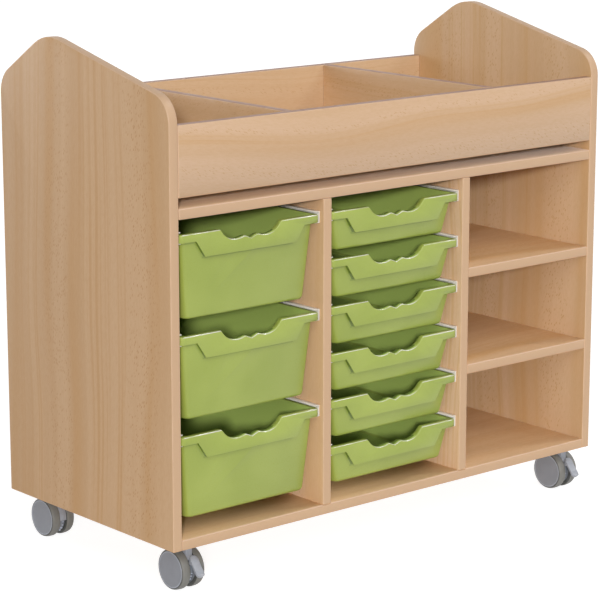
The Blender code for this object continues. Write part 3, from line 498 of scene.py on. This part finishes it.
def beech(name, board, low, high):
    """Beech laminate with its grain along one axis and plain edge band off its face axis."""
    grain, face, seed, tint, streaks, flecked = board
    # The tint also carries painted light, lightening boards deep in the bays
    light, mid, dark, fleck_tone = (toned(tone, tint) for tone in
                                    (BEECH_LIGHT, BEECH_MID, BEECH_DARK, BEECH_FLECK))
    trough = name.startswith("trough_")
    paint = Paint(name, BEECH_ROUGHNESS)
    paint.set("Specular IOR Level", BEECH_SPECULAR)
    if name in SLOT_BOARDS:
        paint.set("Sheen Weight", SLOT_SHEEN)
        paint.set("Sheen Roughness", SLOT_SHEEN_ROUGHNESS)
    axes = paint.parts(paint.place())
    normals = paint.parts(paint.facing())
    across = axes[X + Y + Z - grain - face]
    along = paint.maths("ADD", axes[grain], seed * SEED_STEP_ALONG)
    depth = paint.maths("MULTIPLY", axes[face], DEPTH_STRETCH)
    unwavered = paint.vector(along, paint.maths("ADD", across, seed * SEED_STEP_ACROSS), depth)

    # Slow waver of the figure
    waver = paint.noise(unwavered, *WAVER_NOISE)
    shift = paint.maths("MULTIPLY_ADD", waver, WAVER_WIDTH, -WAVER_WIDTH / 2)
    figure_across = paint.maths("ADD", across, shift)
    wavy_across = paint.maths("ADD", figure_across, seed * SEED_STEP_ACROSS)
    wavy = paint.vector(along, wavy_across, depth)
    slanted = paint.vector(paint.maths("MULTIPLY_ADD", wavy_across, SLANT, along), wavy_across, depth)

    # Broad bands and groups of thin dark lines
    bands = paint.noise(wavy, *BANDS_NOISE)
    lines = paint.noise(wavy, *LINES_NOISE)
    groups = paint.noise(wavy, *GROUPS_NOISE)
    body = paint.mix(paint.ease(bands, *BANDS_TO_MID), light, mid)
    body = paint.mix(paint.ease(bands, *BANDS_TO_DARK), body, dark)
    grouped = paint.largest(paint.ease(groups, *LINES_GROUPED), paint.near(figure_across, streaks))
    body = paint.mix(paint.product(paint.ease(lines, *LINES_TO_DARK), grouped), body, dark)

    # Short flecks of the rays, gathered in columns, and soft slanted fibre
    closeness = TROUGH_FLECKS_CLOSENESS if trough else FLECKS_CLOSENESS
    gathered = TROUGH_FLECKS_GATHERED if trough else FLECKS_GATHERED
    distance, chance = paint.cells(slanted, closeness)
    column = paint.maths("MULTIPLY_ADD", paint.near(figure_across, flecked), gathered, FLECKS_LEAST)
    fleck = paint.product(paint.ease(distance, *FLECK_SIZE), paint.ease(chance, *FLECK_CHANCE), column)
    body = paint.mix(fleck, body, fleck_tone)
    fibre = paint.noise(slanted, *FIBRE_NOISE)
    body = paint.mix(paint.ease(fibre, *FIBRE_TONE), body, fleck_tone)

    # Painted light: paler underside of the trough floor, to brighten the paper slot below it
    if name == "trough_floor":
        body = paint.mix(paint.ease(normals[Z], *UNDERSIDE_FACING), body, SLOT_LIGHT_UNDERSIDE)

    band_share, edge = edge_band(paint, unwavered, normals, face, trough and face != Z)
    surface = paint.mix(band_share, body, edge)
    # Painted lines along the band's arrises: warm shade below, highlight above
    paint.set("Base Color", painted_arris_lines(paint, surface, axes[Z], normals, face == Z, low, high))
    paint.set("Roughness", paint.ease(fibre, *FIBRE_ROUGHNESS))
    pores = paint.maths("MULTIPLY_ADD", fibre, FIBRE_HEIGHT, paint.maths("MULTIPLY", fleck, -1.0))
    paint.bump(pores, PORE_DEPTH, PORE_STRENGTH)
    return paint.material


def painted_inner_light_share(paint, axes, normals, low, high):
    """Share of painted light: one on the inner side of a bin's walls and on its floor seen from above."""
    middle, half = (low + high) / 2, (high - low) / 2
    outward = 0.0
    for axis in (X, Y):
        side = paint.maths("MULTIPLY_ADD", axes[axis], 1 / half[axis], -middle[axis] / half[axis])
        outward = paint.maths("MULTIPLY_ADD", side, normals[axis], outward)
    below_rim = paint.ease(axes[Z], high.z - RIM_BAND, high.z - RIM_BAND / 2, 1.0, 0.0)
    on_floor = paint.product(paint.ease(normals[Z], *FLOOR_FACING), below_rim)
    return paint.largest(paint.ease(outward, *INNER_SIDE), on_floor)


def painted_crease_shade_share(paint, axes, normals, on_lip, low, high):
    """Painted shade along the lower edge and the slanted sides of the handle plate."""
    depth = paint.maths("SUBTRACT", high.z, axes[Z])
    aside = paint.maths("ABSOLUTE", paint.maths("SUBTRACT", axes[X], (low.x + high.x) / 2))
    slope = (PLATE_TOP_HALF - PLATE_FOOT_HALF) / (PLATE_FOOT - PLATE_HEAD)
    past_side = paint.maths("SUBTRACT", paint.maths("MULTIPLY_ADD", depth, slope, aside),
                            PLATE_TOP_HALF + slope * PLATE_HEAD)
    off_lip = paint.maths("SUBTRACT", 1.0, on_lip)

    # Slanted sides: painted shade on the arris of the lip, on the flank behind it and as its shadow on
    # the front wall
    along_plate = paint.product(paint.ease(depth, PLATE_HEAD, PLATE_HEAD + CREASE),
                                paint.ease(depth, PLATE_FOOT + CREASE, PLATE_FOOT + 2 * CREASE, 1.0, 0.0))
    lip_side_shade = paint.product(paint.ease(past_side, -CREASE, -CREASE / 2, 0.0, LIP_SIDE_SHADE_SHARE),
                             paint.ease(normals[Y], *LIP_FACING), on_lip)
    flank_shade = paint.ease(past_side, -2 * CREASE, -CREASE, FLANK_SHADE_SHARE, 0.0)
    shade = paint.ease(past_side, 0.0, SHADE_WIDTH, SHADE_SHARE, 0.0)
    shade_behind_lip = paint.product(paint.largest(flank_shade, shade), off_lip)
    shares = [paint.product(paint.largest(lip_side_shade, shade_behind_lip), along_plate)]

    # Painted shade under the lower edge of the plate, and under the rim beside it
    under_plate = paint.ease(aside, PLATE_FOOT_HALF, PLATE_FOOT_HALF + CREASE, 1.0, 0.0)
    beside_plate = paint.ease(aside, PLATE_TOP_HALF - CREASE, PLATE_TOP_HALF)
    for edge, stretch in ((PLATE_FOOT, under_plate), (PLATE_HEAD, beside_plate)):
        past_edge = paint.maths("SUBTRACT", depth, edge)
        shares.append(paint.product(paint.ease(past_edge, 0.0, CREASE / 2),
                                    paint.ease(past_edge, 3 * CREASE, 4 * CREASE, UNDER_EDGE_SHADE_SHARE, 0.0),
                                    stretch, off_lip))
    near_front = paint.ease(axes[Y], low.y + FRONT_DEPTH, low.y + FRONT_DEPTH + CREASE, 1.0, 0.0)
    return paint.product(paint.largest(*shares), paint.ease(normals[Y], *FRONT_FACING), near_front)


def scuff_and_highlight_share(paint, place, normals, on_lip):
    """Painted highlight with scuffing on the arris round the front of the rim, strongest where the rim is
    level.
    """
    arris = paint.product(paint.ease(normals[Z], *ARRIS_RISES), paint.ease(normals[Z], *ARRIS_ENDS))
    level = paint.ease(paint.maths("ABSOLUTE", normals[X]), *HIGHLIGHT_LEVEL)
    patches = paint.ease(paint.noise(place, *SCUFF_AND_HIGHLIGHT_NOISE), *SCUFF_AND_HIGHLIGHT_PATCHES)
    return paint.product(arris, paint.ease(normals[Y], *SCUFF_AND_HIGHLIGHT_FACING), on_lip, level, patches)


def bin_plastic(name, low, high):
    """Glossy moulded plastic, paler inside with painted light in place of light soaking through the thin
    walls, with painted shade round the handle plate and a painted highlight on the rim.
    """
    paint = Paint(name, BIN_ROUGHNESS)
    paint.set("Specular IOR Level", BIN_SPECULAR)
    paint.set("Coat Weight", BIN_COAT)
    paint.set("Coat Roughness", BIN_COAT_ROUGHNESS)
    place = paint.place()
    axes = paint.parts(place)
    normals = paint.parts(paint.facing())
    drift = paint.noise(place, *BIN_DRIFT_NOISE)
    grain = paint.noise(place, *BIN_GRAIN_NOISE)
    on_lip = paint.ease(axes[Y], low.y + LIP_DEPTH, low.y + LIP_DEPTH + CREASE, 1.0, 0.0)
    tone = paint.mix(paint.ease(drift, *DRIFT_TONE), GREEN, GREEN_DEEP)
    tone = paint.mix(paint.ease(grain, *BIN_GRAIN_TONE), tone, GREEN_DEEP)
    # Painted light: paler inside the walls and on the floor
    tone = paint.mix(painted_inner_light_share(paint, axes, normals, low, high), tone, GREEN_PAINTED_INNER_LIGHT)
    # Painted shade in the creases round the handle plate
    tone = paint.mix(painted_crease_shade_share(paint, axes, normals, on_lip, low, high), tone, GREEN_PAINTED_SHADE)
    # Painted highlight and scuffing on the rim's front arris
    tone = paint.mix(scuff_and_highlight_share(paint, place, normals, on_lip), tone, GREEN_SCUFF_AND_HIGHLIGHT)
    paint.set("Base Color", tone)
    paint.set("Roughness", paint.ease(grain, *BIN_GRAIN_ROUGHNESS))
    paint.bump(grain, COARSE_GRAIN_DEPTH, GRAIN_STRENGTH)
    return paint.material


def plastic(name, tone, roughness, grain_noise):
    """Moulded plastic with a fine spark-eroded grain and a slow drift of tone."""
    lighter, darker = (toned(tone, (share,) * 3) for share in DRIFT_SHARES)
    paint = Paint(name, roughness)
    place = paint.place()
    drift = paint.noise(place, *PLAIN_DRIFT_NOISE)
    grain = paint.noise(place, *grain_noise)
    body = paint.mix(paint.ease(drift, *DRIFT_TONE), lighter, darker)
    paint.set("Base Color", paint.mix(paint.ease(grain, *PLAIN_GRAIN_TONE), body, darker))
    paint.set("Roughness", paint.ease(grain, *GRAIN_SPAN, roughness - SMOOTHER, roughness + ROUGHER))
    paint.bump(grain, FINE_GRAIN_DEPTH, GRAIN_STRENGTH)
    return paint.material


def tyre_rubber(name):
    """Soft grey tread, with painted shade darkening its sides."""
    paint = Paint(name, TYRE_ROUGHNESS)
    place = paint.place()
    across = paint.maths("ABSOLUTE", paint.parts(paint.facing())[X])
    grain = paint.noise(place, *FINE_GRAIN_NOISE)
    dust = paint.noise(place, *DUST_NOISE)
    tone = paint.mix(paint.ease(across, *TYRE_SIDE_FACING), TYRE_GREY, TYRE_SIDE_SHADE)
    paint.set("Base Color", paint.mix(paint.ease(dust, *DUST_TONE), tone, HOOD_GREY))
    paint.set("Roughness", paint.ease(grain, *TYRE_GRAIN_ROUGHNESS))
    paint.bump(grain, COARSE_GRAIN_DEPTH, GRAIN_STRENGTH)
    return paint.material


def castor_plastic(name, axle):
    """Moulded plastic, with painted shade making the web between the wheels darker than the hood over
    them.
    """
    paint = Paint(name, HOUSING_ROUGHNESS)
    place = paint.place()
    axes = paint.parts(place)
    away = [paint.maths("SUBTRACT", axes[axis], axle[axis]) for axis in (Y, Z)]
    squares = [paint.maths("MULTIPLY", value, value) for value in away]
    radius = paint.maths("SQRT", paint.maths("ADD", *squares))
    grain = paint.noise(place, *FINE_GRAIN_NOISE)
    drift = paint.ease(paint.noise(place, *HOUSING_DRIFT_NOISE), *HOUSING_DRIFT_TONE)
    hood = paint.mix(drift, HOOD_GREY, DISC_GREY)
    # Painted shade: the web darker than the hood
    web = paint.mix(drift, WEB_SHADE_GREY, DISC_GREY)
    paint.set("Base Color", paint.mix(paint.ease(radius, WEB_RADIUS, WEB_RADIUS + WEB_BORDER), web, hood))
    paint.set("Roughness", paint.ease(grain, *HOUSING_GRAIN_ROUGHNESS))
    paint.bump(grain, FINE_GRAIN_DEPTH, GRAIN_STRENGTH)
    return paint.material


def metal(name, colour, roughness):
    """Plated metal with a brushed grain and faint stains."""
    paint = Paint(name, roughness, 1.0)
    place = paint.place()
    brushed = paint.noise(place, *BRUSHED_NOISE)
    stain = paint.noise(place, *STAIN_NOISE)
    stained = toned(colour, (STAIN_SHARE,) * 3)
    paint.set("Base Color", paint.mix(paint.ease(stain, *STAIN_TONE), colour, stained))
    paint.set("Roughness", paint.ease(brushed, *GRAIN_SPAN, roughness - STEEL_SMOOTHER,
                                      roughness + STEEL_ROUGHER))
    paint.bump(brushed, BRUSHED_DEPTH, BRUSHED_STRENGTH)
    return paint.material


def dress(name, material):
    """Give a CAD node its finish."""
    node = NODES[name]
    for slot in node.material_slots:
        slot.material = material
    return node


def soften(node, width, segments=2):
    """Close the node's split corners and round its arrises for the light."""
    weld = node.modifiers.new("Weld", "WELD")
    weld.merge_threshold = WELD_DISTANCE
    bevel = node.modifiers.new("Round", "BEVEL")
    bevel.width = width
    bevel.segments = segments
    bevel.limit_method = "ANGLE"
    bevel.angle_limit = ARRIS_ANGLE
    bevel.harden_normals = True
    for face in node.data.polygons:
        face.use_smooth = True


def dress_boards():
    for name, board in BOARDS.items():
        soften(dress(name, beech(name, board, *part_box(name))), BROAD_ROUND)


def dress_plastics():
    """Finish the bins, runners and castors, and add their fine pieces."""
    plain = {name: plastic(name, *finish) for name, finish in PLAIN_PLASTICS.items()}
    steel = metal("plated", STEEL, STEEL_ROUGHNESS)
    for name in NODES:
        if "_bin_" in name:
            soften(dress(name, bin_plastic(name, *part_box(name))), BROAD_ROUND)
        elif "runner" in name:
            soften(dress(name, plain["white_runner"]), FINE_ROUND, 1)
        elif "plate" in name:
            dress(name, steel)
        elif "lever" in name:
            soften(dress(name, plain["hood"]), FINE_ROUND)
        elif "housing" in name:
            low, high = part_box(name.replace("castor_housing", "wheel") + "_left")
            soften(dress(name, castor_plastic(name, (low + high) / 2)), FINE_ROUND)
    add_wheels(tyre_rubber("tyre"), plain["disc"], plain["disc_rim_highlight"])
    add_stubs(plain["stub"])
    add_screws(steel)


def linked(name, mesh, material, slot, body, *replaced):
    """Object of a mesh with its finish, riding on a body."""
    item = bpy.data.objects.new(name, mesh)
    item.data.materials.append(material)
    bpy.context.collection.objects.link(item)
    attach(item, body)
    if replaced:
        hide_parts(*replaced)
    return item


def turned_mesh(name, section, centre, side, steps):
    """Closed solid of a (radius, place) section turned about X; side turns it left or right."""
    work = bmesh.new()
    rings = []
    for radius, place in section:
        count = 1 if radius == 0 else steps
        ring = []
        for step in range(count):
            angle = math.tau * step / steps
            ring.append(work.verts.new((centre[X] + side * place, centre[Y] + radius * math.sin(angle),
                                        centre[Z] - radius * math.cos(angle))))
        rings.append(ring)
    last = len(rings) if section[0][0] > 0 and section[-1][0] > 0 else len(rings) - 1
    for index in range(last):
        lower, upper = rings[index], rings[(index + 1) % len(rings)]
        for step in range(steps):
            following = (step + 1) % steps
            corners = [lower[step % len(lower)], lower[following % len(lower)],
                       upper[following % len(upper)], upper[step % len(upper)]]
            face = list(dict.fromkeys(corners))
            if len(face) > 2:
                work.faces.new(face)
    bmesh.ops.recalc_face_normals(work, faces=work.faces)
    mesh = bpy.data.meshes.new(name)
    work.to_mesh(mesh)
    work.free()
    mesh.shade_smooth()
    mesh.set_sharp_from_angle(angle=SHARP_ANGLE)
    return mesh


def add_wheels(tyre, disc, disc_rim_highlight):
    """Tyre and dished disc of each castor wheel, in the space of its plain solid."""
    for name in [name for name in NODES if name.startswith("wheel_")]:
        low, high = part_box(name)
        side = -1 if name.endswith("_left") else 1
        radius = (high.z - low.z) / 2
        width = high.x - low.x
        inner = high.x if side < 0 else low.x
        centre = (inner, (low.y + high.y) / 2, (low.z + high.z) / 2)
        for part, section, material in (("tyre", TYRE_SECTION, tyre), ("disc", CORE_SECTION, disc)):
            sized = [(share * radius, place * width) for share, place in section]
            mesh = turned_mesh(f"{name}_{part}", sized, centre, side, WHEEL_STEPS)
            item = linked(f"{name}_{part}", mesh, material, "wheel_plastic", name, name)
            if part == "disc":
                item.data.materials.append(disc_rim_highlight)
                for face in mesh.polygons[RIM_START * WHEEL_STEPS:RIM_END * WHEEL_STEPS]:
                    face.material_index = 1


def stub_mesh(name, place, size):
    """Small rounded stub, a little wider than it is high."""
    work = bmesh.new()
    bmesh.ops.create_uvsphere(work, u_segments=STUB_SEGMENTS, v_segments=STUB_RINGS, radius=size)
    bmesh.ops.scale(work, vec=(STUB_STRETCH, 1.0, 1.0), verts=work.verts)
    bmesh.ops.translate(work, vec=place, verts=work.verts)
    mesh = bpy.data.meshes.new(name)
    work.to_mesh(mesh)
    work.free()
    mesh.shade_smooth()
    return mesh


def add_stubs(pale):
    """Row of small moulded stubs round the lower front rim of each castor's web, painted pale for the
    light they catch.
    """
    for name in [name for name in NODES if "housing" in name]:
        corner = name.removeprefix("castor_housing_")
        low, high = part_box(f"wheel_{corner}_left")
        far_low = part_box(f"wheel_{corner}_right")[0]
        middle = (high.x + far_low.x) / 2
        axle_y, axle_z = (low.y + high.y) / 2, (low.z + high.z) / 2
        for index, (angle, rim, size) in enumerate(STUBS):
            if corner.startswith("front"):
                rim -= FRONT_RIM_LESS
            turn = math.radians(angle)
            place = (middle + STUB_OFFSET, axle_y - rim * math.cos(turn), axle_z - rim * math.sin(turn))
            mesh = stub_mesh(f"{name}_stub_{index}", place, size)
            linked(mesh.name, mesh, pale, "hood_plastic", "castor_" + corner)


def add_screws(steel):
    """Screws that hold the castor plates and the runners."""
    for name in NODES:
        low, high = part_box(name)
        if "plate" in name:
            inset, radius, height = PLATE_SCREW_INSET, PLATE_SCREW_RADIUS, PLATE_SCREW_HEIGHT
            turn = Matrix.Rotation(QUARTER_TURN, 4, "Y")
            places = [(x, y, low.z) for x in (low.x + inset, high.x - inset)
                      for y in (low.y + inset, high.y - inset)]
        elif "runner" in name:
            radius, height = RUNNER_SCREW_RADIUS, RUNNER_SCREW_HEIGHT
            onto_left = name.endswith("_right")
            turn = Matrix.Rotation(2 * QUARTER_TURN if onto_left else 0.0, 4, "Z")
            x = high.x - RUNNER_WALL if onto_left else low.x + RUNNER_WALL
            places = [(x, low.y + share * (high.y - low.y), (low.z + high.z) / 2)
                      for share in RUNNER_SCREW_SHARES]
        else:
            continue
        section = [(share * radius, place * height) for share, place in SCREW_SECTION]
        for index, place in enumerate(places):
            mesh = turned_mesh(f"{name}_screw_{index}", section, (0, 0, 0), 1, SCREW_STEPS)
            mesh.transform(Matrix.Translation(place) @ turn)
            linked(f"{name}_screw_{index}", mesh, steel, "plated_steel", "cabinet")


def camera():
    data = bpy.data.cameras.new("camera")
    data.lens = LENS
    data.sensor_width = SENSOR
    data.clip_end = CAMERA_REACH
    item = bpy.data.objects.new("camera", data)
    item.location = CAMERA_PLACE
    forward = Vector((math.sin(CAMERA_YAW) * math.cos(CAMERA_PITCH),
                      math.cos(CAMERA_YAW) * math.cos(CAMERA_PITCH),
                      -math.sin(CAMERA_PITCH)))
    item.rotation_euler = forward.to_track_quat("-Z", "Y").to_euler()
    bpy.context.collection.objects.link(item)
    bpy.context.scene.camera = item


def lamp(name, direction, share, angle):
    """Distant soft lamp that shines from a direction."""
    data = bpy.data.lights.new(name, "SUN")
    data.energy = share * FULL_LIGHT
    data.angle = angle
    item = bpy.data.objects.new(name, data)
    item.rotation_euler = Vector(direction).to_track_quat("Z", "Y").to_euler()
    bpy.context.collection.objects.link(item)


def seen_rays(tree):
    """One where the ray is seen straight, in a gloss or through glass, else zero."""
    rays = tree.nodes.new("ShaderNodeLightPath")
    total = rays.outputs["Is Camera Ray"]
    for name in ("Is Glossy Ray", "Is Transmission Ray"):
        adding = tree.nodes.new("ShaderNodeMath")
        adding.operation = "MAXIMUM"
        tree.links.new(total, adding.inputs[0])
        tree.links.new(rays.outputs[name], adding.inputs[1])
        total = adding.outputs[0]
    return total


def surroundings():
    """Faint even light all round, seen as white."""
    world = bpy.data.worlds.new("studio")
    world.use_nodes = True
    tree = world.node_tree
    background = tree.nodes["Background"]
    background.inputs["Color"].default_value = (*WHITE, 1.0)
    ranged = tree.nodes.new("ShaderNodeMapRange")
    tree.links.new(seen_rays(tree), ranged.inputs["Value"])
    ranged.inputs["To Min"].default_value = WORLD_STRENGTH
    ranged.inputs["To Max"].default_value = 1.0
    tree.links.new(ranged.outputs[0], background.inputs["Strength"])
    bpy.context.scene.world = world


def floor():
    """Pale floor that keeps the object's shadow."""
    mesh = bpy.data.meshes.new("floor")
    half = FLOOR_HALF
    mesh.from_pydata([(-half, -half, 0), (half, -half, 0), (half, half, 0), (-half, half, 0)],
                     [], [(0, 1, 2, 3)])
    item = bpy.data.objects.new("floor", mesh)
    bpy.context.collection.objects.link(item)
    paint = Paint("floor", FLOOR_ROUGHNESS)
    seen = seen_rays(paint.tree)
    paint.set("Specular IOR Level", 0.0)
    paint.set("Base Color", paint.mix(seen, FLOOR_COLOUR, FLOOR_SEEN_COLOUR))
    paint.set("Emission Color", WHITE)
    paint.set("Emission Strength", paint.maths("MULTIPLY", seen, FLOOR_GLOW))
    mesh.materials.append(paint.material)


dress_boards()
dress_plastics()
camera()
for lamp_name, (shine_from, lamp_share, width) in LAMPS.items():
    lamp(lamp_name, shine_from, lamp_share, math.radians(width))
surroundings()
floor()
bpy.context.scene.view_settings.view_transform = "Standard"
